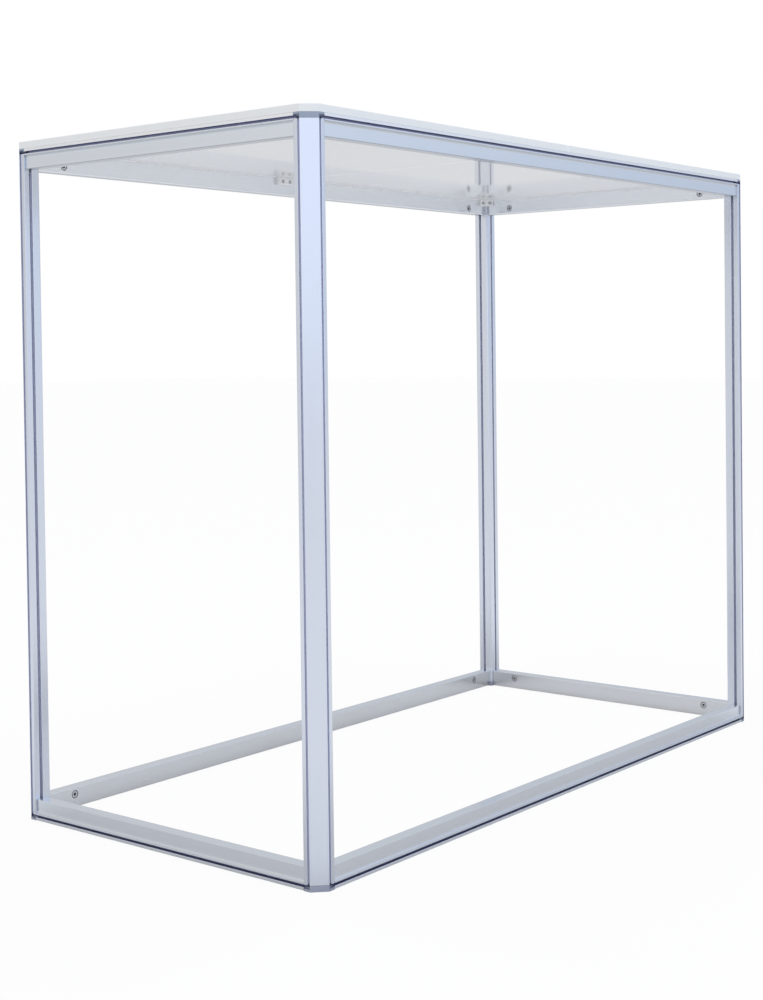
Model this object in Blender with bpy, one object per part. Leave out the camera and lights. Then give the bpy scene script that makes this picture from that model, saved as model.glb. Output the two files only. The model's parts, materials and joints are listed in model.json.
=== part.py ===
"""Open display case frame: four posts and eight rails of grooved aluminium profile under a two-part top.

Metres, +Z up. The origin is on the floor under the middle of the case, with the long side along X. Every
profile is drawn from one outer corner inwards: u and v run from the two outer faces towards the inside.
"""

import math

import bmesh
import bpy
from mathutils import Matrix, Vector
from mathutils.geometry import tessellate_polygon

# Outside size of the case, top included.
WIDTH = 1.200
DEPTH = 0.585
HEIGHT = 1.000

# Clearance between pieces that touch in the real case.
GAP = 0.0003

# Top board.
BOARD = 0.010
BOARD_ROUND = 0.0015
JOINT_BEVEL = 0.0006

# Post profile: a square with its outer corner cut off at 45 degrees.
POST = 0.028
CUT = 0.0174
CUT_LIP = 0.0006
INNER_ROUND = 0.002
EDGE_ROUND = 0.0005
FLANGE_CLIP = 0.0012

# The narrow groove that runs round each face, in posts, rails and caps alike.
GROOVE = 0.0035
GROOVE_DEEP = 0.0045

# T-slot in each inner face of a post.
SLOT_AT = 0.0115
SLOT_OPEN = 0.0047
SLOT_WIDE = 0.0095
SLOT_LIP = 0.0015
SLOT_DEEP = 0.006
SLOT_ROUND = 0.0007
WALL = 0.0016

# Rail profile, drawn with d inwards from its outer face and h from its grooved side.
RAIL = 0.030
RAIL_DEEP = 0.022
RAIL_WALL = 0.0018
RIM = 0.0041
CHANNEL_DEEP = 0.0072
SECOND_LIP = 0.0022
COVE = 0.0045
RECESS = 0.003
RAIL_ROUND = 0.0012
FLOOR_H = 0.0092

# Corner caps.
FOOT = 0.0005
CAP_RIM = 0.0026
SPIGOT = 0.012

# Tension lock: a hook in the rail's end, drawn back by an eccentric screw.
LOCK_AT = 0.080
LOCK_H = 0.0195
HEAD_R = 0.0049
HEAD_HIGH = 0.0009
HEAD_SINK = 0.0001
SHOULDER_R = 0.0058
COLLAR_R = 0.0069
COLLAR_HIGH = 0.0010
DRUM_R = 0.0032
PIN_R = 0.0015
THROW = 0.0008
SOCKET_R = 0.0027
SOCKET_DEEP = 0.003
HOOK_LONG = 0.064
HOOK_NECK = 0.0022
BARB = 0.0019
BARB_OUT = 0.00195
PIN_DEEP = 0.0034
SIDES = 18

# White blocks that hold the top from below.
BLOCK_HIGH = 0.013
BLOCK_THICK = 0.0060
BLOCK_LEG = 0.0417
BLOCK_TIP = 0.0340
BLOCK_END = 0.0027
BLOCK_SOFT = 0.0015
WINDOW_WIDE = 0.0075
WINDOW_HIGH = 0.0065
WINDOW_AT = 0.03695
JOINT_BLOCK = 0.100
JOINT_WINDOWS = (-0.038, -0.020, 0.020, 0.038)

# Heights that follow from the sizes above.
FRAME_TOP = HEIGHT - BOARD - GAP
CAP_HIGH = RIM + GROOVE
BOTTOM_Z = FOOT
FLANGE = CUT + CUT_LIP + GROOVE


def clear_scene():
    for old in list(bpy.data.objects):
        bpy.data.objects.remove(old, do_unlink=True)


def material(name, colour, metallic, roughness, coat=0.0):
    """A named Principled material."""
    made = bpy.data.materials.new(name)
    made.use_nodes = True
    shader = made.node_tree.nodes["Principled BSDF"]
    shader.inputs["Base Color"].default_value = (*colour, 1.0)
    shader.inputs["Metallic"].default_value = metallic
    shader.inputs["Roughness"].default_value = roughness
    shader.inputs["Coat Weight"].default_value = coat
    made.diffuse_color = (*colour, 1.0)
    return made


def anodised_aluminium():
    return material("anodised_aluminium", (0.74, 0.76, 0.80), 1.0, 0.38)


def grey_plastic():
    return material("grey_plastic", (0.29, 0.34, 0.44), 0.0, 0.45)


def white_plastic():
    return material("white_plastic", (0.86, 0.86, 0.88), 0.0, 0.40)


def white_board():
    return material("white_gloss_board", (0.80, 0.80, 0.81), 0.0, 0.12, 0.5)


def zinc_steel():
    return material("zinc_plated_steel", (0.55, 0.56, 0.58), 1.0, 0.35)


def arc(centre, radius, start, end, steps):
    """Points on an arc of the section plane, both ends included, angles in degrees."""
    angles = [math.radians(start + (end - start) * i / steps) for i in range(steps + 1)]
    return [(centre[0] + radius * math.cos(a), centre[1] + radius * math.sin(a)) for a in angles]


def frame_of(origin, first, second, third):
    """The matrix that takes section coordinates and the run coordinate to the world."""
    columns = (Vector(first), Vector(second), Vector(third), Vector(origin))
    return Matrix([[column[row] for column in columns] for row in range(3)] + [[0, 0, 0, 1]])


def corner_frame(side_x, side_y, base, up=1):
    """Section u and v from the outer corner of the case on these sides, running up or down from base."""
    origin = (side_x * WIDTH / 2, side_y * DEPTH / 2, base)
    return frame_of(origin, (-side_x, 0, 0), (0, -side_y, 0), (0, 0, up))


def closed_mesh(name, points, faces, place):
    """A mesh in world space with its faces turned outwards."""
    mesh = bpy.data.meshes.new(name)
    mesh.from_pydata([place @ Vector(point) for point in points], [], faces)
    work = bmesh.new()
    work.from_mesh(mesh)
    bmesh.ops.recalc_face_normals(work, faces=work.faces)
    work.to_mesh(mesh)
    work.free()
    return mesh


def add_object(name, mesh, surface, pivot=(0, 0, 0)):
    """An object whose origin is at the pivot."""
    mesh.transform(Matrix.Translation(-Vector(pivot)))
    made = bpy.data.objects.new(name, mesh)
    made.location = pivot
    made.data.materials.append(surface)
    bpy.context.collection.objects.link(made)
    return made


def prism(name, loops, low, high, place):
    """The first loop less the others, extruded from low to high."""
    flat = [point for loop in loops for point in loop]
    count = len(flat)
    points = [(*point, low) for point in flat] + [(*point, high) for point in flat]
    caps = tessellate_polygon([[Vector((*point, 0)) for point in loop] for loop in loops])
    faces = [tuple(cap) for cap in caps] + [tuple(i + count for i in cap) for cap in caps]
    start = 0
    for loop in loops:
        size = len(loop)
        for i in range(size):
            here, after = start + i, start + (i + 1) % size
            faces.append((here, after, after + count, here + count))
        start += size
    return closed_mesh(name, points, faces, place)


def loft(name, rings, place):
    """Rings of equal count joined in order, the first and last closed."""
    size = len(rings[0])
    points = [point for ring in rings for point in ring]
    faces = [tuple(range(size)), tuple(range(len(points) - size, len(points)))]
    for level in range(len(rings) - 1):
        for i in range(size):
            here, after = level * size + i, level * size + (i + 1) % size
            faces.append((here, after, after + size, here + size))
    return closed_mesh(name, points, faces, place)


def box_parts(low, high):
    """Corner points and faces of a box in section coordinates."""
    points = [(x, y, z) for z in (low[2], high[2]) for y in (low[1], high[1]) for x in (low[0], high[0])]
    faces = [(0, 1, 3, 2), (4, 5, 7, 6), (0, 1, 5, 4), (2, 3, 7, 6), (0, 2, 6, 4), (1, 3, 7, 5)]
    return points, faces


def joined(name, pieces, place):
    """Separate closed pieces, given as points and faces, in one mesh."""
    points, faces = [], []
    for piece_points, piece_faces in pieces:
        faces += [tuple(i + len(points) for i in face) for face in piece_faces]
        points += piece_points
    return closed_mesh(name, points, faces, place)


def boolean(target, mesh, operation):
    """Cut or join a hidden helper mesh with the target."""
    helper = bpy.data.objects.new(mesh.name, mesh)
    helper.hide_render = True
    helper.display_type = "WIRE"
    bpy.context.collection.objects.link(helper)
    modifier = target.modifiers.new(mesh.name, "BOOLEAN")
    modifier.object = helper
    modifier.operation = operation
    modifier.solver = "EXACT"


def mirrored(half):
    """A half outline that ends on the diagonal, followed by its mirror image across u = v."""
    return half + [(v, u) for u, v in reversed(half)]


def post_outline():
    """Outer contour of a post: cut corner, edge groove, flange, T-slot and rounded inner corner."""
    groove = CUT + CUT_LIP
    lower, upper = SLOT_AT - SLOT_OPEN / 2, SLOT_AT + SLOT_OPEN / 2
    floor_u, lip_u = POST - SLOT_DEEP, POST - SLOT_LIP
    wide_low, wide_high = SLOT_AT - SLOT_WIDE / 2, SLOT_AT + SLOT_WIDE / 2
    half = [(CUT, 0), (groove, 0), (groove, GROOVE_DEEP), (FLANGE, GROOVE_DEEP)]
    half += arc((FLANGE + EDGE_ROUND, EDGE_ROUND), EDGE_ROUND, 180, 270, 2)
    half += arc((POST - EDGE_ROUND, EDGE_ROUND), EDGE_ROUND, -90, 0, 2)
    half += arc((POST - SLOT_ROUND, lower - SLOT_ROUND), SLOT_ROUND, 0, 90, 3)
    half += [(lip_u, lower), (lip_u, wide_low), (floor_u, wide_low)]
    half += [(floor_u, wide_high), (lip_u, wide_high), (lip_u, upper)]
    half += arc((POST - SLOT_ROUND, upper + SLOT_ROUND), SLOT_ROUND, -90, 0, 3)
    half += arc((POST - INNER_ROUND, POST - INNER_ROUND), INNER_ROUND, 0, 33.75, 3)
    return mirrored(half)


def post_core(shrink=0.0):
    """Contour of a post's hollow core, less its lobe between the slots."""
    outer = GROOVE_DEEP + WALL + shrink
    inner = POST - SLOT_DEEP - WALL - shrink
    diagonal = CUT + (WALL + shrink) * math.sqrt(2)
    return [(diagonal - outer, outer), (inner, outer), (inner, inner), (outer, inner), (outer, diagonal - outer)]


def post_hollow():
    """The core with the lobe that reaches the inner corner between the two T-slots."""
    first, second, centre, third, fourth = post_core()
    near = SLOT_AT + SLOT_WIDE / 2 + WALL
    far = POST - WALL
    lobe = [(centre[0], near), (far, near), (far, far), (near, far), (near, centre[1])]
    return [first, second, *lobe, third, fourth]


def flange_clips(length):
    """Wedges that take the corner off each flange where the groove turns from post to rail."""
    pieces = []
    over = 0.001
    for level, turn in ((0.0, 1), (length, -1)):
        wedge = [(FLANGE - over, level - turn * over), (FLANGE + FLANGE_CLIP, level - turn * over)]
        wedge += [(FLANGE + FLANGE_CLIP, level), (FLANGE, level + turn * FLANGE_CLIP)]
        wedge += [(FLANGE - over, level + turn * FLANGE_CLIP)]
        for swap in (False, True):
            points = [(u, v, z) for v in (-over, GROOVE_DEEP - FLANGE_CLIP / 4) for u, z in wedge]
            if swap:
                points = [(v, u, z) for u, v, z in points]
            size = len(wedge)
            faces = [tuple(range(size)), tuple(range(size, 2 * size))]
            faces += [(i, (i + 1) % size, (i + 1) % size + size, i + size) for i in range(size)]
            pieces.append((points, faces))
    return pieces


def add_post(name, side_x, side_y, surface):
    """An upright of extruded profile between its foot and its cap."""
    base = BOTTOM_Z + CAP_HIGH + GAP
    length = FRAME_TOP - CAP_HIGH - GAP - base
    place = corner_frame(side_x, side_y, base)
    made = add_object(name, prism(name, [post_outline(), post_hollow()], 0, length, place), surface)
    boolean(made, joined(name + "_clips", flange_clips(length), place), "DIFFERENCE")


def cap_outline():
    """Outline of a cap: the post's own outline without its grooves."""
    return mirrored([(CUT, 0), (POST, 0), *arc((POST - INNER_ROUND, POST - INNER_ROUND), INNER_ROUND, 0, 30, 2)])


def add_cap(name, side_x, side_y, base, up, stand, surface):
    """A plastic end piece: full height at the cut corner, a thin rim elsewhere, a plug up the post's core."""
    place = corner_frame(side_x, side_y, base, up)
    top = stand + CAP_HIGH
    made = add_object(name, prism(name, [cap_outline()], 0, top, place), surface)
    over = 0.001
    rim = stand + CAP_RIM
    start = CUT + CUT_LIP
    near = box_parts((start, -over, rim), (POST + over, GROOVE_DEEP, top + over))
    far = box_parts((-over, start, rim), (GROOVE_DEEP, POST + over, top + over))
    boolean(made, joined(name + "_groove", [near, far], place), "DIFFERENCE")
    plug = prism(name + "_plug", [post_core(GAP)], top - over, top + GAP + SPIGOT, place)
    boolean(made, plug, "UNION")


def rail_outline():
    """Outer contour of a rail: rim, groove, second lip, cove, recessed face and plain inner face."""
    soft = 0.0003
    lip_low, lip_high = RIM + GROOVE, RIM + GROOVE + SECOND_LIP
    outline = [(0, soft), (soft, 0)]
    outline += arc((RAIL_DEEP - RAIL_ROUND, RAIL_ROUND), RAIL_ROUND, -90, 0, 2)
    outline += arc((RAIL_DEEP - RAIL_ROUND, RAIL - RAIL_ROUND), RAIL_ROUND, 0, 90, 2)
    outline += [(RECESS + soft, RAIL), (RECESS, RAIL - soft)]
    cove = [(RECESS, COVE), (RECESS * 0.93, COVE * 0.60), (RECESS * 0.75, COVE * 0.28), (RECESS * 0.40, 0.0)]
    outline += [(d, lip_high + h) for d, h in cove]
    outline += [(soft, lip_high), (0, lip_high - soft), (0, lip_low + soft), (soft, lip_low)]
    outline += [(CHANNEL_DEEP, lip_low), (CHANNEL_DEEP, RIM), (soft, RIM), (0, RIM - soft)]
    return outline


def rail_chambers():
    """Contours of a rail's two hollows: the plain one behind the groove and the one for the locks."""
    near, far = RECESS + RAIL_WALL, RAIL_DEEP - RAIL_WALL
    web = 2 * LOCK_H - (RAIL - RAIL_WALL)
    behind = CHANNEL_DEEP + RAIL_WALL
    plain = [(behind, RAIL_WALL), (far, RAIL_WALL), (far, FLOOR_H), (behind, FLOOR_H)]
    lock = [(near, web), (far, web), (far, RAIL - RAIL_WALL), (near, RAIL - RAIL_WALL)]
    return [plain, lock]


def circle(radius, sides=SIDES):
    """Points round a circle of the section plane."""
    return [(radius * math.cos(2 * math.pi * i / sides), radius * math.sin(2 * math.pi * i / sides))
            for i in range(sides)]


def lock_frame(place, half, end):
    """Coordinates s from the case's outer plane, v inwards and h from the grooved side, at one rail end."""
    inwards, rise, along = (place.col[i].to_3d() for i in range(3))
    origin = place.col[3].to_3d() + end * half * along
    return frame_of(origin, -end * along, inwards, rise)


def hole_rings():
    """The round hole that a lock screw turns in, from beyond the inner face into the chamber."""
    over = 0.001
    around = circle(SHOULDER_R + GAP)
    depths = (RAIL_DEEP + over, RAIL_DEEP - RAIL_WALL - over)
    return [[(LOCK_AT + s, v, LOCK_H + h) for s, h in around] for v in depths]


def add_rail(name, place, half, surface):
    """A rail of extruded profile that butts against the posts' inner faces."""
    reach = half - POST - GAP
    made = add_object(name, prism(name, [rail_outline(), *rail_chambers()], -reach, reach, place), surface)
    for end in (-1, 1):
        cutter = loft(f"{name}_hole_{end + 1}", hole_rings(), lock_frame(place, half, end))
        boolean(made, cutter, "DIFFERENCE")


def hexagon(radius, sides=SIDES):
    """Points round a hexagon, as many as round a circle."""
    points = []
    for i in range(sides):
        angle = 2 * math.pi * i / sides
        flat = angle % (math.pi / 3) - math.pi / 6
        reach = radius * math.cos(math.pi / 6) / math.cos(flat)
        points.append((reach * math.cos(angle), reach * math.sin(angle)))
    return points


def screw_rings():
    """A hex-socket screw that its collar holds behind the wall, from the socket's floor to the pin's end."""
    face = RAIL_DEEP - HEAD_SINK
    step = face - HEAD_HIGH
    collar = RAIL_DEEP - RAIL_WALL - GAP
    drum_end = hook_side() + 0.00035
    shapes = [(face - SOCKET_DEEP, hexagon(SOCKET_R), 0), (face, hexagon(SOCKET_R), 0)]
    turned = [(face, HEAD_R), (step, HEAD_R), (step, SHOULDER_R), (collar, SHOULDER_R), (collar, COLLAR_R)]
    turned += [(collar - COLLAR_HIGH, COLLAR_R), (collar - COLLAR_HIGH, DRUM_R), (drum_end, DRUM_R)]
    shapes += [(v, circle(radius), 0) for v, radius in turned]
    shapes += [(v, circle(PIN_R), THROW) for v in (drum_end, drum_end - PIN_DEEP - GAP)]
    rings = []
    for v, shape, shift in shapes:
        rings.append([(LOCK_AT + shift + s, v, LOCK_H + h) for s, h in shape])
    return rings


def hook_side():
    """Depth of the hook's side that faces the screw."""
    return SLOT_AT - SLOT_OPEN / 2 + GAP + HOOK_NECK


def hook_outline():
    """Plan of a hook in s and v: barb behind the slot's lip, neck, slider block and the pin's notch."""
    side = hook_side()
    barb_face = POST - SLOT_LIP - GAP
    tip = barb_face - BARB
    block_start = POST + 2 * THROW + 3 * GAP
    block_end = POST + GAP + HOOK_LONG
    back = RECESS + RAIL_WALL + GAP
    neck = side - HOOK_NECK
    pin = LOCK_AT + THROW
    notch = PIN_R + GAP
    floor = side - PIN_DEEP
    front = [(tip, side), (tip, neck - BARB_OUT), (barb_face, neck - BARB_OUT), (barb_face, neck)]
    body = [(block_start, neck), (block_start, back), (block_end, back), (block_end, side)]
    slot = [(pin + notch, side), (pin + notch, floor), (pin - notch, floor), (pin - notch, side)]
    return front + body + slot


def add_lock(name, place, half, end, surface):
    """One tension lock: the eccentric screw in the rail's inner face and the hook it draws back."""
    local = lock_frame(place, half, end)
    head = local @ Vector((LOCK_AT, RAIL_DEEP, LOCK_H))
    add_object("lock_screw_" + name, loft("screw", screw_rings(), local), surface, head)
    inwards, rise, along = (local.col[i].to_3d() for i in (1, 2, 0))
    plan = frame_of(local.col[3].to_3d(), along, inwards, rise)
    low = 2 * LOCK_H - (RAIL - RAIL_WALL) + GAP
    high = RAIL - RAIL_WALL - GAP
    anchor = local @ Vector((POST, SLOT_AT, LOCK_H))
    add_object("lock_hook_" + name, prism("hook", [hook_outline()], low, high, plan), surface, anchor)


def board_ring(side, inset, level, bevel):
    """Outline of half the top at one level, drawn in from its outer edges and its joint edge."""
    joint = GAP / 2 + bevel
    long, deep = WIDTH / 2 - inset, DEPTH / 2 - inset
    cut = CUT + inset * (math.sqrt(2) - 2)
    outline = [(joint, -deep), (long - cut, -deep), (long, -deep + cut)]
    outline += [(long, deep - cut), (long - cut, deep), (joint, deep)]
    return [(side * x, y, level) for x, y in outline]


def add_board(name, side, surface):
    """Half of the top board, with soft outer edges and cut corners."""
    low = HEIGHT - BOARD
    rings = []
    for step in range(4):
        angle = math.pi / 2 * step / 3
        inset = BOARD_ROUND * (1 - math.sin(angle))
        rise = BOARD_ROUND * (1 - math.cos(angle))
        bevel = JOINT_BEVEL * (1 - step / 3)
        rings.append((rise, inset, bevel))
    rings += [(BOARD - rise, inset, bevel) for rise, inset, bevel in reversed(rings)]
    levels = [board_ring(side, inset, low + rise, bevel) for rise, inset, bevel in rings]
    add_object(name, loft(name, levels, Matrix.Identity(4)), surface)


def window_ring(centre, middle):
    """Outline of a block's oval window along its wall and up it."""
    radius = WINDOW_HIGH / 2
    straight = (WINDOW_WIDE - WINDOW_HIGH) / 2
    right = arc((centre + straight, middle), radius, -90, 90, 6)
    left = arc((centre - straight, middle), radius, 90, 270, 6)
    return right + left


def window_parts(centre, middle, low, high, swap=False):
    """A closed oval bar that cuts one window, running in v, or in u when swapped."""
    ring = window_ring(centre, middle)
    size = len(ring)
    points = [(u, v, z) for v in (low, high) for u, z in ring]
    if swap:
        points = [(v, u, z) for u, v, z in points]
    faces = [tuple(range(size)), tuple(range(size, 2 * size))]
    faces += [(i, (i + 1) % size, (i + 1) % size + size, i + size) for i in range(size)]
    return points, faces


def corner_block_ring(inset, level):
    """Plan of a corner block: it fits round the post's inner corner and along both rails."""
    post, rail = POST + GAP, RAIL_DEEP + GAP
    leg, tip = BLOCK_LEG - inset, BLOCK_TIP - inset
    half = [(post, post), (post, rail), (leg, rail), (leg, rail + BLOCK_END - inset / 2)]
    half += [(tip, tip - 0.003)]
    return [(*point, level) for point in half + [(v, u) for u, v in reversed(half[1:])]]


def add_corner_block(name, side_x, side_y, surface):
    """A moulded block under the top in a corner of the frame, with one window in each leg."""
    place = corner_frame(side_x, side_y, FRAME_TOP, -1)
    levels = [(0, 0), (0, BLOCK_HIGH - BLOCK_SOFT), (BLOCK_SOFT, BLOCK_HIGH)]
    rings = [corner_block_ring(inset, level) for inset, level in levels]
    made = add_object(name, loft(name, rings, place), surface)
    over = 0.002
    low, high = RAIL_DEEP - over, BLOCK_TIP - 0.001
    windows = [window_parts(WINDOW_AT, BLOCK_HIGH / 2, low, high, swap) for swap in (False, True)]
    boolean(made, joined(name + "_windows", windows, place), "DIFFERENCE")


def add_joint_block(name, side_y, surface):
    """A straight block on a long rail under the joint between the two halves of the top."""
    origin = (0, side_y * (DEPTH / 2 - RAIL_DEEP - GAP), FRAME_TOP)
    place = frame_of(origin, (1, 0, 0), (0, -side_y, 0), (0, 0, -1))
    rings = []
    for inset, level in ((0, 0), (0, BLOCK_HIGH - BLOCK_SOFT), (BLOCK_SOFT, BLOCK_HIGH)):
        end, front = JOINT_BLOCK / 2 - inset, BLOCK_THICK - inset
        rings.append([(-end, 0, level), (end, 0, level), (end, front, level), (-end, front, level)])
    made = add_object(name, loft(name, rings, place), surface)
    over = 0.002
    windows = [window_parts(at, BLOCK_HIGH / 2, -over, BLOCK_THICK + over) for at in JOINT_WINDOWS]
    boolean(made, joined(name + "_windows", windows, place), "DIFFERENCE")


def rail_places():
    """Every rail's name, frame, half length and the names of its two ends."""
    sides = {
        "front": ((0, -DEPTH / 2), (0, 1, 0), (1, 0, 0), WIDTH / 2, ("left", "right")),
        "rear": ((0, DEPTH / 2), (0, -1, 0), (1, 0, 0), WIDTH / 2, ("left", "right")),
        "left": ((-WIDTH / 2, 0), (1, 0, 0), (0, 1, 0), DEPTH / 2, ("front", "rear")),
        "right": ((WIDTH / 2, 0), (-1, 0, 0), (0, 1, 0), DEPTH / 2, ("front", "rear")),
    }
    places = []
    for level, height, rise in (("bottom", BOTTOM_Z, 1), ("top", FRAME_TOP, -1)):
        for side, (middle, inwards, along, half, ends) in sides.items():
            place = frame_of((*middle, height), inwards, (0, 0, rise), along)
            places.append((f"{level}_{side}", place, half, ends))
    return places


def build():
    clear_scene()
    metal, grey, white = anodised_aluminium(), grey_plastic(), white_plastic()
    board, zinc = white_board(), zinc_steel()
    for corner_y, side_y in (("front", -1), ("rear", 1)):
        for corner_x, side_x in (("left", -1), ("right", 1)):
            corner = f"{corner_y}_{corner_x}"
            add_post("post_" + corner, side_x, side_y, metal)
            add_cap("foot_" + corner, side_x, side_y, 0.0, 1, FOOT, grey)
            add_cap("cap_" + corner, side_x, side_y, FRAME_TOP, -1, 0.0, grey)
            add_corner_block("corner_block_" + corner, side_x, side_y, white)
    for name, place, half, ends in rail_places():
        add_rail("rail_" + name, place, half, metal)
        for end_name, end in zip(ends, (-1, 1)):
            add_lock(f"{name}_{end_name}", place, half, end, zinc)
    add_joint_block("joint_block_front", -1, white)
    add_joint_block("joint_block_rear", 1, white)
    add_board("top_left", -1, board)
    add_board("top_right", 1, board)


build()
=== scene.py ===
"""Looks for an open display case: anodised profile frame, grey caps, white blocks, glossy split top."""

import json
import math

import bpy
import numpy as np
from mathutils import Matrix, Vector


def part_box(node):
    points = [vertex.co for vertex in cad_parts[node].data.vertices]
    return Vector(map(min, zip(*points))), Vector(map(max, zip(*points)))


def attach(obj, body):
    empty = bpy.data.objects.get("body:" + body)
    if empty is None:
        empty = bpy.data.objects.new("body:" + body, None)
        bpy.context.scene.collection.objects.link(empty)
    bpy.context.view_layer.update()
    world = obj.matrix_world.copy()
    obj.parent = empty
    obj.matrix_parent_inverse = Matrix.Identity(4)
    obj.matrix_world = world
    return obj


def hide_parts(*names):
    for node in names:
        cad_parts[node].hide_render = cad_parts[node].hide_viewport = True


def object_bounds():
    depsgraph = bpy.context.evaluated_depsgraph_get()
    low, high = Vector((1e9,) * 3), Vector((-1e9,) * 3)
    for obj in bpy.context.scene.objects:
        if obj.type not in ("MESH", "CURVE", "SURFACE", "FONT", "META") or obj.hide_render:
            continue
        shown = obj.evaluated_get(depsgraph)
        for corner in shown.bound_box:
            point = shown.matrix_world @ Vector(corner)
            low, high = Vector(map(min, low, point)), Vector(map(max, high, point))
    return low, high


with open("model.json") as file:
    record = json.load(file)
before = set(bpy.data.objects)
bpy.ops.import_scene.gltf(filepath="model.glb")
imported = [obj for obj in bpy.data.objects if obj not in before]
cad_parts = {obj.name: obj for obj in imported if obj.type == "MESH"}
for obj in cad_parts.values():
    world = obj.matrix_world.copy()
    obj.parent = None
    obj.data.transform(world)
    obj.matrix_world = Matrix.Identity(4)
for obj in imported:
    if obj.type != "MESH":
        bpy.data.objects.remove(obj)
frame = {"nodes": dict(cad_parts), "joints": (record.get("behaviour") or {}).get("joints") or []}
cad_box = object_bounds()


# Camera ----------------------------------------------------------------------------------------------
# The case is seen from beyond its front left post, a little above the middle, with both near faces
# running away. The shift keeps the uprights nearly parallel while the case fills the frame.
LENS_MM = 58.471
EYE = Vector((-2.1325, -1.6386, 0.6888))
YAW, PITCH, ROLL = 0.67153, -0.02595, -0.01245
SHIFT = (-0.01202, -0.10811)


def camera_matrix(eye, yaw, pitch, roll):
    """World matrix of a camera that heads yaw from +X towards +Y, tilted by pitch and rolled by roll."""
    ahead = Vector((math.cos(yaw) * math.cos(pitch), math.sin(yaw) * math.cos(pitch), math.sin(pitch)))
    level = ahead.cross(Vector((0, 0, 1))).normalized()
    upright = level.cross(ahead)
    right = math.cos(roll) * level + math.sin(roll) * upright
    up = math.cos(roll) * upright - math.sin(roll) * level
    columns = (right, up, -ahead, eye)
    return Matrix([[column[row] for column in columns] for row in range(3)] + [[0, 0, 0, 1]])


lens = bpy.data.cameras.new("camera")
lens.lens = LENS_MM
lens.shift_x, lens.shift_y = SHIFT
camera = bpy.data.objects.new("camera", lens)
camera.matrix_world = camera_matrix(EYE, YAW, PITCH, ROLL)
bpy.context.scene.collection.objects.link(camera)
bpy.context.scene.camera = camera
bpy.context.scene.view_settings.view_transform = "Standard"


# Posts -----------------------------------------------------------------------------------------------
# The uprights are extruded aluminium, satin anodised after extrusion. The die leaves fine lines along
# each length and handling leaves faint cloudy marks. Slots and grooves are duller and get painted shade.
POST_CUT = 0.0174
SHADE_START, SHADE_FULL = 0.0003, 0.0026
BUTT_START, BUTT_FULL, BUTT_SHADE = 0.0006, 0.0002, 0.25
# Colours for painted shade, for a painted highlight and for real dust on the anodising.
PAINTED_SHADE_DARK, PAINTED_HIGHLIGHT_PALE, DUSTY = (0.10, 0.11, 0.13), (0.97, 0.98, 1.00), (0.475, 0.330, 0.160)

high = Vector(cad_box[1])
post_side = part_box("post_front_left")[1].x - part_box("post_front_left")[0].x


class Wire:
    """A shader output that Python arithmetic turns into Math nodes."""

    def __init__(self, graph, socket):
        self.graph = graph
        self.socket = socket

    def math(self, operation, *operands):
        """One Math node over the operands, each a wire or a number."""
        return self.graph.node("ShaderNodeMath", {"operation": operation}, dict(enumerate(operands)))

    def __add__(self, other):
        return self.math("ADD", self, other)

    def __radd__(self, other):
        return self.math("ADD", other, self)

    def __sub__(self, other):
        return self.math("SUBTRACT", self, other)

    def __rsub__(self, other):
        return self.math("SUBTRACT", other, self)

    def __mul__(self, other):
        return self.math("MULTIPLY", self, other)

    def __rmul__(self, other):
        return self.math("MULTIPLY", other, self)

    def __abs__(self):
        return self.math("ABSOLUTE", self)

    def least(self, *others):
        """The smallest of this and the others."""
        smallest = self
        for other in others:
            smallest = self.math("MINIMUM", smallest, other)
        return smallest

    def most(self, other):
        """The larger of this and the other."""
        return self.math("MAXIMUM", self, other)


class Graph:
    """A node tree in the making, and the coordinates that its patterns read."""

    def __init__(self, tree, coordinates="Object"):
        self.tree = tree
        self.place = self.node("ShaderNodeTexCoord", out=coordinates)

    def node(self, kind, settings=None, inputs=None, out=0):
        """One new node with its settings and inputs, given back as one of its outputs."""
        made = self.tree.nodes.new(kind)
        for key, value in (settings or {}).items():
            setattr(made, key, value)
        for key, value in (inputs or {}).items():
            self.feed(made.inputs[key], value)
        return Wire(self, made.outputs[out])

    def feed(self, socket, value):
        """Links a wire to the socket, or sets a plain value on it."""
        if isinstance(value, Wire):
            self.tree.links.new(value.socket, socket)
        else:
            socket.default_value = value

    def scaled(self, factors):
        """The coordinates multiplied by one factor for each axis."""
        return self.node("ShaderNodeVectorMath", {"operation": "MULTIPLY"}, {0: self.place, 1: factors})

    def noise(self, factors, detail=2.0, roughness=0.5):
        """Noise from 0 to 1 whose grain is 1 / factor long on each axis."""
        inputs = {"Vector": self.scaled(factors), "Scale": 1.0, "Detail": detail, "Roughness": roughness}
        return self.node("ShaderNodeTexNoise", {}, inputs)

    def ramp(self, value, start, end):
        """Smooth step from 0 at start to 1 at end."""
        inputs = {"Value": value, "From Min": start, "From Max": end}
        return self.node("ShaderNodeMapRange", {"interpolation_type": "SMOOTHSTEP"}, inputs)

    def blend(self, factor, first, second):
        """Colour between first and second."""
        inputs = {0: factor, 6: self.colour(first), 7: self.colour(second)}
        return self.node("ShaderNodeMix", {"data_type": "RGBA"}, inputs, out=2)

    def colour(self, value):
        """A wire as it is, or three numbers as an opaque colour."""
        return value if isinstance(value, Wire) else (*value, 1.0)

    def axis(self, index):
        """One of the three coordinates."""
        return self.node("ShaderNodeSeparateXYZ", {}, {0: self.place}, out=index)

    def facing(self, index):
        """How squarely the surface faces along an axis, from 0 to 1."""
        normal = self.node("ShaderNodeNewGeometry", out="Normal")
        return abs(self.node("ShaderNodeSeparateXYZ", {}, {0: normal}, out=index))


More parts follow.
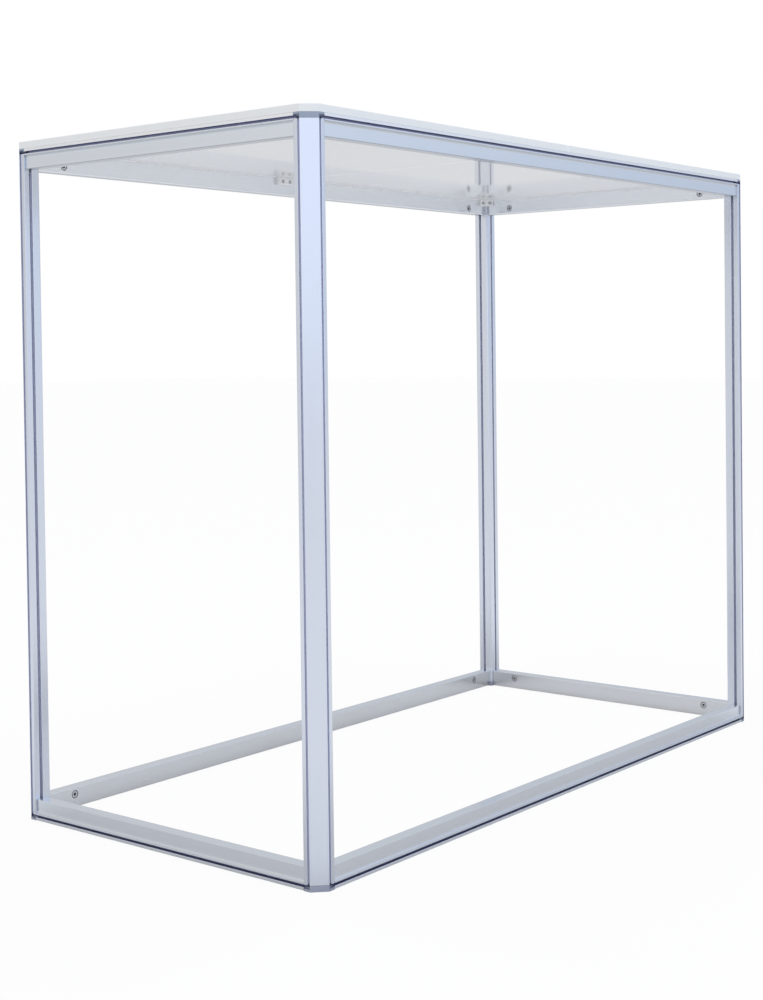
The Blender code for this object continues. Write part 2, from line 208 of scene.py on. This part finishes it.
class Paint(Graph):
    """The node tree of one material, with its Principled shader."""

    def __init__(self, name, **constants):
        self.material = bpy.data.materials.new(name)
        self.material.use_nodes = True
        super().__init__(self.material.node_tree)
        self.shader = self.tree.nodes["Principled BSDF"]
        for socket, value in constants.items():
            self.shader.inputs[socket.replace("_", " ")].default_value = value

    def finish(self, colour, roughness, height, depth, edge=0.0):
        """Joins colour, roughness and a height field, in metres at full depth, to the shader."""
        bump = {"Height": height, "Strength": 1.0, "Distance": depth}
        if edge:
            bump["Normal"] = self.node("ShaderNodeBevel", {"samples": 4}, {"Radius": edge})
        self.feed(self.shader.inputs["Base Color"], colour)
        self.feed(self.shader.inputs["Roughness"], roughness)
        self.feed(self.shader.inputs["Normal"], self.node("ShaderNodeBump", {}, bump))
        return self.material


def along(run, across, length):
    """Noise factors for grain that runs along one axis."""
    factors = [across] * 3
    factors[run] = length
    return tuple(factors)


def anodised(name, run, tones, shade_mask, shade, shadowed=None, highlighted=None, dusted=None):
    """Satin anodised aluminium, between two tones, with die lines along the run axis.

    It takes the shade colour where the shade mask nears 1, as painted shade in slots and channels. Where
    those are given, it darkens with painted shade, pales with a painted highlight and yellows with dust.
    """
    paint = Paint(name, Metallic=1.0)
    lines = paint.noise(along(run, 1600.0, 2.0), 3.0, 0.6)
    bands = paint.noise(along(run, 260.0, 0.6), 2.0)
    cloud = paint.noise((7.0, 7.0, 7.0), 4.0, 0.6)
    speck = paint.noise((2400.0, 2400.0, 2400.0), 1.0)
    smear = paint.ramp(paint.noise((23.0, 23.0, 31.0), 5.0, 0.65), 0.56, 0.72)
    tone = 0.45 * lines + 0.25 * bands + 0.30 * cloud
    # Painted shade in the slots and channels, which are also rougher.
    dull = shade_mask(paint)
    colour = paint.blend(tone, *tones)
    if shadowed:
        colour = paint.blend(shadowed(paint), colour, PAINTED_SHADE_DARK)
    if highlighted:
        colour = paint.blend(highlighted(paint), colour, PAINTED_HIGHLIGHT_PALE)
    if dusted:
        colour = paint.blend(dusted(paint), colour, DUSTY)
    colour = paint.blend(dull, colour, shade)
    satin = 0.21 + 0.08 * (bands - 0.5) + 0.06 * (cloud - 0.5) + 0.04 * smear + 0.03 * speck
    return paint.finish(colour, satin + 0.25 * dull, lines + 0.5 * speck, 0.000003, 0.0003)


def post_shade_mask(paint):
    """Painted shade that grows with depth below the post's nearest outer face, its cut corner included."""
    u = high.x - abs(paint.axis(0))
    v = high.y - abs(paint.axis(1))
    corner = (u + v - POST_CUT) * math.sqrt(0.5)
    return paint.ramp(u.least(v, post_side - u, post_side - v, corner), SHADE_START, SHADE_FULL)


def butt_shade(paint):
    """Painted shade on the posts' inward walls over the height of an upper rail's end."""
    depth = (high.x - abs(paint.axis(0))).most(high.y - abs(paint.axis(1)))
    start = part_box("rail_top_front")[0].z
    inward = paint.ramp(depth, post_side - BUTT_START, post_side - BUTT_FULL)
    return BUTT_SHADE * inward * paint.ramp(paint.axis(2), start, start + 0.0005)


def dress(material, *prefixes):
    """Gives every CAD node whose name starts so this material."""
    for name, node in frame["nodes"].items():
        if name.startswith(prefixes):
            node.data.materials.clear()
            node.data.materials.append(material)


post_tones = (0.700, 0.738, 0.815), (0.790, 0.823, 0.900)
# The third colour is the painted shade in the posts' slots and grooves; the last mask is painted shade at rail
# butts.
dress(anodised("anodised_upright", 2, post_tones, post_shade_mask, (0.80, 0.82, 0.93), butt_shade), "post_")


# Rails -----------------------------------------------------------------------------------------------
# Eight lengths of a second profile, from the same anodising batch, butt against the posts. A narrow
# deep channel runs round every outer face just inside its rim, and its walls get painted shade.
CHANNEL_FROM, CHANNEL_TO, CHANNEL_DEEP = 0.0041, 0.0076, 0.0075
# Cove and upper undersides get painted shade; upper rims and inner faces get a painted highlight.
COVE_RISE, COVE_FALL = (0.0088, 0.0103), (0.0105, 0.0140)
CHANNEL_SHADE = (0.33, 0.35, 0.51)
INNER_FACE, OUTER_LIP, UNDERSIDE = (0.0200, 0.0206), (0.005, 0.007), (0.0288, 0.0297)


def rise(paint):
    """Height above the bottom of the lower rails, or below the top of the upper ones."""
    bottom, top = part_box("rail_bottom_front")[0].z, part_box("rail_top_front")[1].z
    return (paint.axis(2) - bottom).least(top - paint.axis(2))


def channel(across):
    """Painted shade in the channel, for rails whose outer face looks along the across axis."""

    def shade_mask(paint):
        depth = high[across] - abs(paint.axis(across))
        middle, half = (CHANNEL_FROM + CHANNEL_TO) / 2, (CHANNEL_TO - CHANNEL_FROM) / 2
        within = 1 - paint.ramp(abs(rise(paint) - middle), half, half + 0.0003)
        behind = paint.ramp(depth, CHANNEL_DEEP, CHANNEL_DEEP + 0.001)
        return within * paint.ramp(depth, SHADE_START, SHADE_FULL) * (1 - behind)

    return shade_mask


def inner_face(paint, across):
    """1 on the rails' inner faces."""
    return paint.ramp(high[across] - abs(paint.axis(across)), *INNER_FACE)


def upper(paint):
    """1 on the upper rails."""
    return paint.ramp(paint.axis(2), 0.4, 0.6)


def lip_and_underside_shade(across):
    """Painted shade in the hollow beside the channel's lip, and on the underside of the upper rails."""

    def shadowed(paint):
        height = rise(paint)
        outer = 1 - paint.ramp(high[across] - abs(paint.axis(across)), *OUTER_LIP)
        hollow = outer * paint.ramp(height, *COVE_RISE) * (1 - paint.ramp(height, *COVE_FALL))
        below = upper(paint) * paint.ramp(height, *UNDERSIDE)
        return hollow * (0.20 + 0.22 * upper(paint)) + 0.55 * below

    return shadowed


def upper_highlight(across):
    """Painted highlight on the upper rails: a paler outer rim and a paler inner face."""

    def highlighted(paint):
        # Painted highlight on the rim and the inner face.
        inner = inner_face(paint, across)
        rim = 1 - paint.ramp(rise(paint), CHANNEL_FROM, CHANNEL_FROM + 0.0005)
        return upper(paint) * (0.85 * rim * (1 - inner) + 0.70 * inner)

    return highlighted


def settled(across):
    """A film of dust on the lower rails' inner faces."""

    def dusted(paint):
        patchy = paint.noise((11.0, 11.0, 30.0), 3.0, 0.6)
        return (0.10 + 0.10 * patchy) * inner_face(paint, across) * (1 - upper(paint))

    return dusted


long_rails = [f"rail_{level}_{side}" for level in ("top", "bottom") for side in ("front", "rear")]
short_rails = [f"rail_{level}_{side}" for level in ("top", "bottom") for side in ("left", "right")]
rail_tones = (0.745, 0.785, 0.840), (0.840, 0.875, 0.925)
both_ways = ("anodised_long", 0, 1, long_rails), ("anodised_short", 1, 0, short_rails)
for name, run, across, rails in both_ways:
    places = lip_and_underside_shade(across), upper_highlight(across), settled(across)
    dress(anodised(name, run, rail_tones, channel(across), CHANNEL_SHADE, *places), *rails)


# Corner caps -----------------------------------------------------------------------------------------
# Each post ends in a moulded nylon cap, coloured blue-grey in the mass, with a fine spark-eroded grain.
# Its plug is pushed into the post's core. The lower four are what the case stands on and are scuffed.
# Painted shade in the caps' recesses.
RECESS_DEPTH, RECESS_SHADE = (0.0080, 0.0100), (0.050, 0.055, 0.120)


def recess_shade(paint):
    """Painted shade in the recess between a cap's flange and the post, outer sides behind the cut corner."""
    u, v = high.x - abs(paint.axis(0)), high.y - abs(paint.axis(1))
    behind_cut = paint.ramp((u + v - POST_CUT) * math.sqrt(0.5), 0.0002, 0.0010)
    outer = 1 - paint.ramp(u.least(v), *RECESS_DEPTH)
    return behind_cut * outer * paint.ramp(rise(paint), CHANNEL_FROM, CHANNEL_FROM + 0.0004)


def grained(name, deep, pale, roughness, scuff):
    """Moulded plastic with eroded grain and rubbed patches, with painted shade in its recess."""
    paint = Paint(name)
    grain = paint.noise((1900.0, 1900.0, 1900.0), 2.0, 0.6)
    cloud = paint.noise((60.0, 60.0, 60.0), 3.0)
    rub = paint.ramp(paint.noise((180.0, 180.0, 420.0), 4.0, 0.7), 0.58, 0.75)
    tone = 0.35 * grain + 0.45 * cloud + scuff * rub
    colour = paint.blend(recess_shade(paint), paint.blend(tone, deep, pale), RECESS_SHADE)
    return paint.finish(colour, roughness + 0.12 * (grain - 0.5) - 0.10 * rub, grain, 0.00004, 0.0003)


dress(grained("grey_cap", (0.290, 0.335, 0.420), (0.410, 0.465, 0.555), 0.50, 0.10), "cap_")
dress(grained("grey_foot", (0.285, 0.300, 0.385), (0.460, 0.475, 0.555), 0.54, 0.35), "foot_")


# Tension locks ---------------------------------------------------------------------------------------
# A turned steel screw with a hex socket sits in each rail end and draws a barbed slider along the rail.
# Both are zinc plated. The head is bright; the recessed shoulder and the socket get painted shade.
SIDES = 60
HEAD, SHOULDER, COLLAR, DRUM, PIN, SOCKET = 0.0049, 0.0058, 0.0069, 0.0032, 0.0015, 0.0027
SUNK = 0.0001
SOCKET_DEEP, DRILL_DEEP, HEAD_DEEP, COLLAR_FROM, COLLAR_TO = 0.0030, 0.0038, 0.0010, 0.0021, 0.0031
SOFT = 0.0003
THROW, PIN_LONG = 0.0008, 0.0037


def plated(name, deep, pale, roughness):
    """Zinc-plated steel with a fine grain and dull patches."""
    paint = Paint(name, Metallic=1.0)
    grain = paint.noise((1500.0, 1500.0, 1500.0), 3.0, 0.6)
    cloud = paint.noise((240.0, 240.0, 240.0), 3.0, 0.6)
    dull = paint.ramp(cloud, 0.50, 0.68)
    colour = paint.blend(0.5 * grain + 0.5 * dull, deep, pale)
    return paint.finish(colour, roughness + 0.14 * dull + 0.06 * (grain - 0.5), grain, 0.00002)


def screw_rows(drum_end, pin_end):
    """Rows from the socket's drilled floor to the pin: depth, radius, share of hexagon, shift, painted shade.
    """
    return [(DRILL_DEEP, 0.0004, 0, 0, 1), (SOCKET_DEEP, 0.0021, 0, 0, 1), (SOCKET_DEEP, SOCKET, 1, 0, 1),
            (SUNK + SOFT, SOCKET, 1, 0, 1), (SUNK, SOCKET + SOFT, 0, 0, 0), (SUNK, HEAD - SOFT, 0, 0, 0),
            (SUNK + 0.3 * SOFT, HEAD - 0.3 * SOFT, 0, 0, 0), (SUNK + SOFT, HEAD, 0, 0, 1),
            (HEAD_DEEP, HEAD, 0, 0, 1), (HEAD_DEEP, SHOULDER, 0, 0, 1), (COLLAR_FROM, SHOULDER, 0, 0, 1),
            (COLLAR_FROM, COLLAR - SOFT, 0, 0, 1), (COLLAR_FROM + SOFT, COLLAR, 0, 0, 1),
            (COLLAR_TO, COLLAR, 0, 0, 0), (COLLAR_TO, DRUM, 0, 0, 0), (drum_end, DRUM, 0, 0, 0),
            (drum_end, PIN, 0, THROW, 0), (pin_end - SOFT, PIN, 0, THROW, 0),
            (pin_end, PIN - SOFT, 0, THROW, 0)]


def turned(name, rows, centre, inwards, sideways, finishes):
    """A closed turned surface that starts and ends in a pole on its axis.

    The point of row i at angle a lies at the row's depth below the centre and at its radius times
    (1 - share + share * hexagon(a)), moved sideways by the row's shift. Each band of faces between two
    rows takes the finish of its second row.
    """
    depth, radius, share, shift, finish = (np.array(column, float)[:, None] for column in zip(*rows))
    angle = np.arange(SIDES) * 2 * math.pi / SIDES
    hexagon = math.cos(math.pi / 6) / np.cos(angle % (math.pi / 3) - math.pi / 6)
    reach = radius * (1 - share + share * hexagon)
    away = np.cross(inwards, sideways)
    across = (shift + reach * np.cos(angle))[..., None] * np.array(sideways)
    upward = (reach * np.sin(angle))[..., None] * away
    below = -depth[..., None] * np.array(inwards)
    points = (np.array(centre) + across + upward + below).reshape(-1, 3)
    ends = np.array(centre) + shift[[0, -1]] * np.array(sideways) - depth[[0, -1]] * np.array(inwards)
    row, column = np.meshgrid(np.arange(len(rows) - 1), np.arange(SIDES), indexing="ij")
    after = (column + 1) % SIDES
    lower, upper = row * SIDES, (row + 1) * SIDES
    bands = np.stack([lower + column, upper + column, upper + after, lower + after], axis=-1).reshape(-1, 4)
    ring = np.arange(SIDES)
    last = (len(rows) - 1) * SIDES
    floor = np.stack([ring, (ring + 1) % SIDES, np.full(SIDES, len(points))], axis=-1)
    tip = np.stack([last + (ring + 1) % SIDES, last + ring, np.full(SIDES, len(points) + 1)], axis=-1)
    mesh = bpy.data.meshes.new(name)
    faces = [*bands.tolist(), *floor.tolist(), *tip.tolist()]
    mesh.from_pydata(np.concatenate([points, ends]).tolist(), [], faces)
    for material in finishes:
        mesh.materials.append(material)
    chosen = np.concatenate([np.repeat(finish[1:, 0], SIDES), np.repeat(finish[[0, -1], 0], SIDES)])
    mesh.polygons.foreach_set("material_index", chosen.astype(np.int32))
    made = bpy.data.objects.new(name, mesh)
    bpy.context.scene.collection.objects.link(made)
    return made


zinc = plated("zinc_plate", (0.62, 0.63, 0.65), (0.78, 0.79, 0.81), 0.30)
# The dark finish is painted shade in the screws' sockets and recessed shoulders.
shade_dark = plated("blackened_steel", (0.105, 0.110, 0.122), (0.190, 0.195, 0.208), 0.42)
dress(zinc, "lock_hook_")
joints = {joint["name"]: joint for joint in frame["joints"]}
for name, turn in joints.items():
    if not name.startswith("turn_"):
        continue
    spot = name.removeprefix("turn_")
    lock = "lock_screw_" + spot
    inwards = Vector(turn["axis"])
    sideways = -Vector(joints["draw_" + spot]["axis"])
    centre = Vector(turn["pos_m"])
    deepest = max(abs((corner - centre).dot(inwards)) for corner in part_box(lock))
    rows = screw_rows(deepest - PIN_LONG, deepest)
    screw = turned("screw_" + spot, rows, centre, inwards, sideways, (zinc, shade_dark))
    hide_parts(lock)
    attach(screw, turn["child"])


# White blocks ----------------------------------------------------------------------------------------
# Moulded white nylon blocks hold the top from below, one in each corner and one under each end of the
# joint. They come glossy from the mould, and a little dust has settled in their windows.
def moulded_white():
    """White nylon with soft mould marks and dust."""
    paint = Paint("white_nylon", IOR=1.53)
    grain = paint.noise((900.0, 900.0, 900.0), 2.0)
    flow = paint.noise((70.0, 70.0, 240.0), 3.0, 0.6)
    dust = paint.ramp(paint.noise((320.0, 320.0, 320.0), 4.0, 0.7), 0.60, 0.78)
    colour = paint.blend(0.4 * flow + 0.5 * dust, (0.975, 0.978, 0.985), (0.92, 0.92, 0.92))
    return paint.finish(colour, 0.36 + 0.10 * flow + 0.15 * dust, grain, 0.00003, 0.0004)


dress(moulded_white(), "corner_block_", "joint_block_")


# Top -------------------------------------------------------------------------------------------------
# Two 10 mm boards with high-gloss white faces and polished, softened edges lie close on the frame and
# meet at mid-length. Faint haze and hairlines show in the gloss; the joint's edges get a painted highlight.
UPPER_ROUND, LOWER_ROUND, CORNER_ROUND, JOINT_BEVEL = 0.0011, 0.0002, 0.0015, 0.0007
JOINT_GAP, LIFT = 0.0003, 0.00004
ROUND_STEPS, CORNER_STEPS = 5, 6
JOINT_HIGHLIGHT = (0.0016, 0.0021)


def gloss_board():
    """High-gloss white board, with a painted highlight along its bevelled joint."""
    paint = Paint("gloss_board", IOR=1.49)
    haze = paint.noise((5.0, 5.0, 5.0), 3.0, 0.5)
    orange = paint.noise((260.0, 260.0, 260.0), 1.0)
    hairs = paint.noise((30.0, 1300.0, 30.0), 2.0, 0.7) * paint.noise((1100.0, 26.0, 26.0), 2.0, 0.7)
    # Painted highlight along the joint.
    joint = 1 - paint.ramp(abs(paint.axis(0)), *JOINT_HIGHLIGHT)
    edge = 1 - paint.facing(2)
    face = paint.blend(haze, (0.850, 0.850, 0.848), (0.875, 0.872, 0.866))
    rim = paint.blend(haze, (0.865, 0.862, 0.840), (0.905, 0.902, 0.880))
    colour = paint.blend(joint, paint.blend(edge, face, rim), (0.98, 0.98, 0.98))
    roughness = 0.035 + 0.02 * haze + 0.10 * paint.ramp(hairs, 0.34, 0.46) + 0.12 * edge
    return paint.finish(colour, roughness, orange + 0.2 * haze, 0.0000008)


def section(low_z, high_z):
    """Rows (inset, height, joint bevel) up a board's edge: a small quarter circle, a wall, a larger one."""
    angle = np.linspace(0, math.pi / 2, ROUND_STEPS)
    inset, climb = 1 - np.sin(angle), 1 - np.cos(angle)
    below = np.stack([LOWER_ROUND * inset, low_z + LOWER_ROUND * climb, JOINT_BEVEL * inset], axis=-1)
    above = np.stack([UPPER_ROUND * inset, high_z - UPPER_ROUND * climb, JOINT_BEVEL * inset], axis=-1)
    return np.concatenate([below, above[::-1]])


def board(node, side, material):
    """One half of the top: the outline in plan, drawn in by each row of the edge's section.

    A point of the outline at a corner, at angle a, lies at the corner's centre plus (corner radius -
    inset) times the unit vector of a. The two points on the joint also move off it by the bevel.
    """
    rows = section(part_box("rail_top_front")[1].z + LIFT, high.z)
    inset, level, bevel = (column[:, None] for column in rows.T)
    joint, long, deep = JOINT_GAP / 2, high.x, high.y
    corners = (
        (long - POST_CUT, -deep), (long, POST_CUT - deep),
        (long, deep - POST_CUT), (long - POST_CUT, deep),
    )
    quarter = math.pi / 4
    centres, angles = [(joint, CORNER_ROUND - deep)], [-2 * quarter]
    for index, corner in enumerate(corners):
        start, end = (index - 2) * quarter, (index - 1) * quarter
        middle, reach = (start + end) / 2, CORNER_ROUND / math.cos(quarter / 2)
        centre = (corner[0] - reach * math.cos(middle), corner[1] - reach * math.sin(middle))
        centres += [centre] * CORNER_STEPS
        angles += list(np.linspace(start, end, CORNER_STEPS))
    centres = np.array([*centres, (joint, deep - CORNER_ROUND)])
    angles = np.array([*angles, 2 * quarter])
    on_joint = centres[:, 0] == joint
    x = side * (centres[:, 0] + (CORNER_ROUND - inset) * np.cos(angles) * ~on_joint + bevel * on_joint)
    y = centres[:, 1] + (CORNER_ROUND - inset) * np.sin(angles)
    points = np.stack([x, y, level + 0 * x], axis=-1)[:, ::side].reshape(-1, 3)
    around = len(angles)
    row, column = np.meshgrid(np.arange(len(inset) - 1) * around, np.arange(around), indexing="ij")
    after = (column + 1) % around
    walls = np.stack([row + column, row + after, row + around + after, row + around + column], axis=-1)
    underside, face = list(range(around))[::-1], list(range(len(points) - around, len(points)))
    faces = [*walls.reshape(-1, 4).tolist(), underside, face]
    mesh = bpy.data.meshes.new(node)
    mesh.from_pydata(points.tolist(), [], faces)
    mesh.materials.append(material)
    made = bpy.data.objects.new(node.replace("top", "board"), mesh)
    bpy.context.scene.collection.objects.link(made)
    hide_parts(node)
    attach(made, "frame")


gloss = gloss_board()
board("top_left", -1, gloss)
board("top_right", 1, gloss)


# Bead ------------------------------------------------------------------------------------------------
# A thin white hollow fillet runs along each inner corner between the boards and the upper rails. It
# is a painted highlight, a white strip that stands for the light line along that junction.
BEAD_LEG, BEAD_HIDDEN, BEAD_STEPS = 0.0017, 0.0014, 7


def highlight_strip():
    """White strip for the painted highlight, with slow swells."""
    paint = Paint("white_silicone", IOR=1.41)
    swell = paint.noise((90.0, 90.0, 90.0), 3.0, 0.6)
    dust = paint.ramp(paint.noise((700.0, 700.0, 700.0), 2.0), 0.60, 0.75)
    colour = paint.blend(0.6 * swell + 0.4 * dust, (0.985, 0.985, 0.980), (0.945, 0.942, 0.930))
    return paint.finish(colour, 0.38 + 0.20 * swell, swell, 0.00001)


def beads(material):
    """Four straight prisms whose section is a hollow fillet between the board and a rail's inner face.

    The fillet's hollow side is a quarter circle about the corner opposite its right angle. The section
    goes on a little way into the rail's wall.
    """
    rail_low, rail_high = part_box("rail_top_front")
    wall, top = rail_high.y - rail_low.y, rail_high.z + 0.95 * LIFT
    angle = np.linspace(math.pi / 2, math.pi, BEAD_STEPS)
    hollow = np.stack([wall + BEAD_LEG * (1 + np.cos(angle)), top - BEAD_LEG * (1 - np.sin(angle))], axis=-1)
    inner = [(wall - BEAD_HIDDEN, top - BEAD_LEG), (wall - BEAD_HIDDEN, top)]
    depth, level = np.concatenate([hollow, inner]).T
    count = len(depth)
    ring = np.arange(count)
    points, faces = [], []
    for sign in (-1, 1):
        for across in (0, 1):
            half = rail_high.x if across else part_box("rail_top_left")[1].y
            for end in (-1, 1):
                place = np.empty((count, 3))
                place[:, across] = sign * (high[across] - depth)
                place[:, 1 - across] = end * half
                place[:, 2] = level
                points.append(place)
            first = len(points) * count - 2 * count
            turn = sign if across else -sign
            after = (ring + 1) % count
            band = np.stack([ring, after, after + count, ring + count], axis=-1)[:, ::turn]
            faces += (first + band).tolist()
            faces += [(first + ring[::-turn]).tolist(), (first + count + ring[::turn]).tolist()]
    mesh = bpy.data.meshes.new("bead")
    mesh.from_pydata(np.concatenate(points).tolist(), [], faces)
    mesh.materials.append(material)
    made = bpy.data.objects.new("bead", mesh)
    bpy.context.scene.collection.objects.link(made)
    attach(made, "frame")


beads(highlight_strip())


# Stage -----------------------------------------------------------------------------------------------
# A pale matt floor that fades into a white surround. The studio is neutral to the left of the case and
# cooler to its right and behind the viewer, where a large softbox stands. Another hangs overhead.
FLOOR_REACH, FLOOR_AT = 30.0, -0.0001
SEEN, MIRRORED, WORLD_MIRRORED = 0.95, 0.30, 0.25


def rays(graph, name):
    """1 for rays of the named kind, otherwise 0."""
    return graph.node("ShaderNodeLightPath", out=name)


def stage_floor():
    """A large square floor, white to the camera and pale grey to other rays, with painted shade by the rails.
    """
    mesh = bpy.data.meshes.new("floor")
    corners = [(-1, -1), (1, -1), (1, 1), (-1, 1)]
    points = [(FLOOR_REACH * x, FLOOR_REACH * y, FLOOR_AT) for x, y in corners]
    mesh.from_pydata(points, [], [(0, 1, 2, 3)])
    floor = bpy.data.objects.new("floor", mesh)
    bpy.context.scene.collection.objects.link(floor)
    paint = Paint("floor", Roughness=0.9)
    outside = (abs(paint.axis(0)) - high.x).most(abs(paint.axis(1)) - high.y)
    beyond = (abs(paint.axis(0)) - high.x).least(abs(paint.axis(1)) - high.y)
    # Painted shade on the floor next to the rails.
    near = paint.ramp(outside, -0.10, 0.03) * (1 - paint.ramp(outside, 0.15, 0.6))
    near = near * (1 - paint.ramp(beyond, -0.05, 0.1))
    paint.feed(paint.shader.inputs["Base Color"], paint.blend(near, (0.90, 0.89, 0.87), (0.71, 0.68, 0.655)))
    glow = paint.node("ShaderNodeEmission", {}, {"Color": (1, 1, 1, 1), "Strength": 1.0})
    mirrored = MIRRORED * paint.ramp(outside, 0.1, 0.6)
    white = SEEN * rays(paint, "Is Camera Ray") + mirrored * rays(paint, "Is Glossy Ray")
    white = white + mirrored * rays(paint, "Is Transmission Ray")
    mixed = paint.node("ShaderNodeMixShader", {}, {0: white, 1: Wire(paint, paint.shader.outputs[0]), 2: glow})
    paint.feed(paint.tree.nodes["Material Output"].inputs["Surface"], mixed)
    mesh.materials.append(paint.material)


def surround():
    """World light: white to the camera, partly white in gloss, otherwise graded by height and side."""
    world = bpy.data.worlds.new("studio")
    bpy.context.scene.world = world
    world.use_nodes = True
    graph = Graph(world.node_tree, "Generated")
    lift = graph.ramp(graph.axis(2), -0.1, 1.0)
    cool = graph.ramp(0.45 * graph.axis(0) - 0.89 * graph.axis(1), -0.8, 0.8)
    front = graph.ramp(-0.6 * graph.axis(0) - 0.8 * graph.axis(1), -0.7, 0.7)
    dim = graph.blend(cool, (0.46, 0.46, 0.46), (0.20, 0.29, 0.43))
    lit = graph.blend(cool, (0.98, 0.98, 0.98), (0.88, 0.97, 1.15))
    overhead = graph.blend(cool, (0.80, 0.81, 0.83), (0.78, 0.83, 0.91))
    studio = graph.blend(lift, graph.blend(front, dim, lit), overhead)
    white = rays(graph, "Is Camera Ray") + WORLD_MIRRORED * rays(graph, "Is Glossy Ray")
    white = white + WORLD_MIRRORED * rays(graph, "Is Transmission Ray")
    graph.feed(graph.tree.nodes["Background"].inputs["Color"], graph.blend(white, studio, (1, 1, 1)))


def softbox(name, place, target, size, power, colour):
    """A square area light that faces its target."""
    light = bpy.data.lights.new(name, "AREA")
    light.size = size
    light.energy = power
    light.color = colour
    made = bpy.data.objects.new(name, light)
    made.location = place
    made.rotation_euler = (Vector(target) - Vector(place)).to_track_quat("-Z", "Y").to_euler()
    bpy.context.scene.collection.objects.link(made)


stage_floor()
surround()
softbox("over", (0.3, -0.2, 3.4), (0, 0, 0.6), 3.0, 25.0, (0.96, 0.98, 1.0))
softbox("front", (-3.4, -3.0, 2.8), (0, 0, 0.6), 4.5, 6.0, (0.60, 0.80, 1.30))
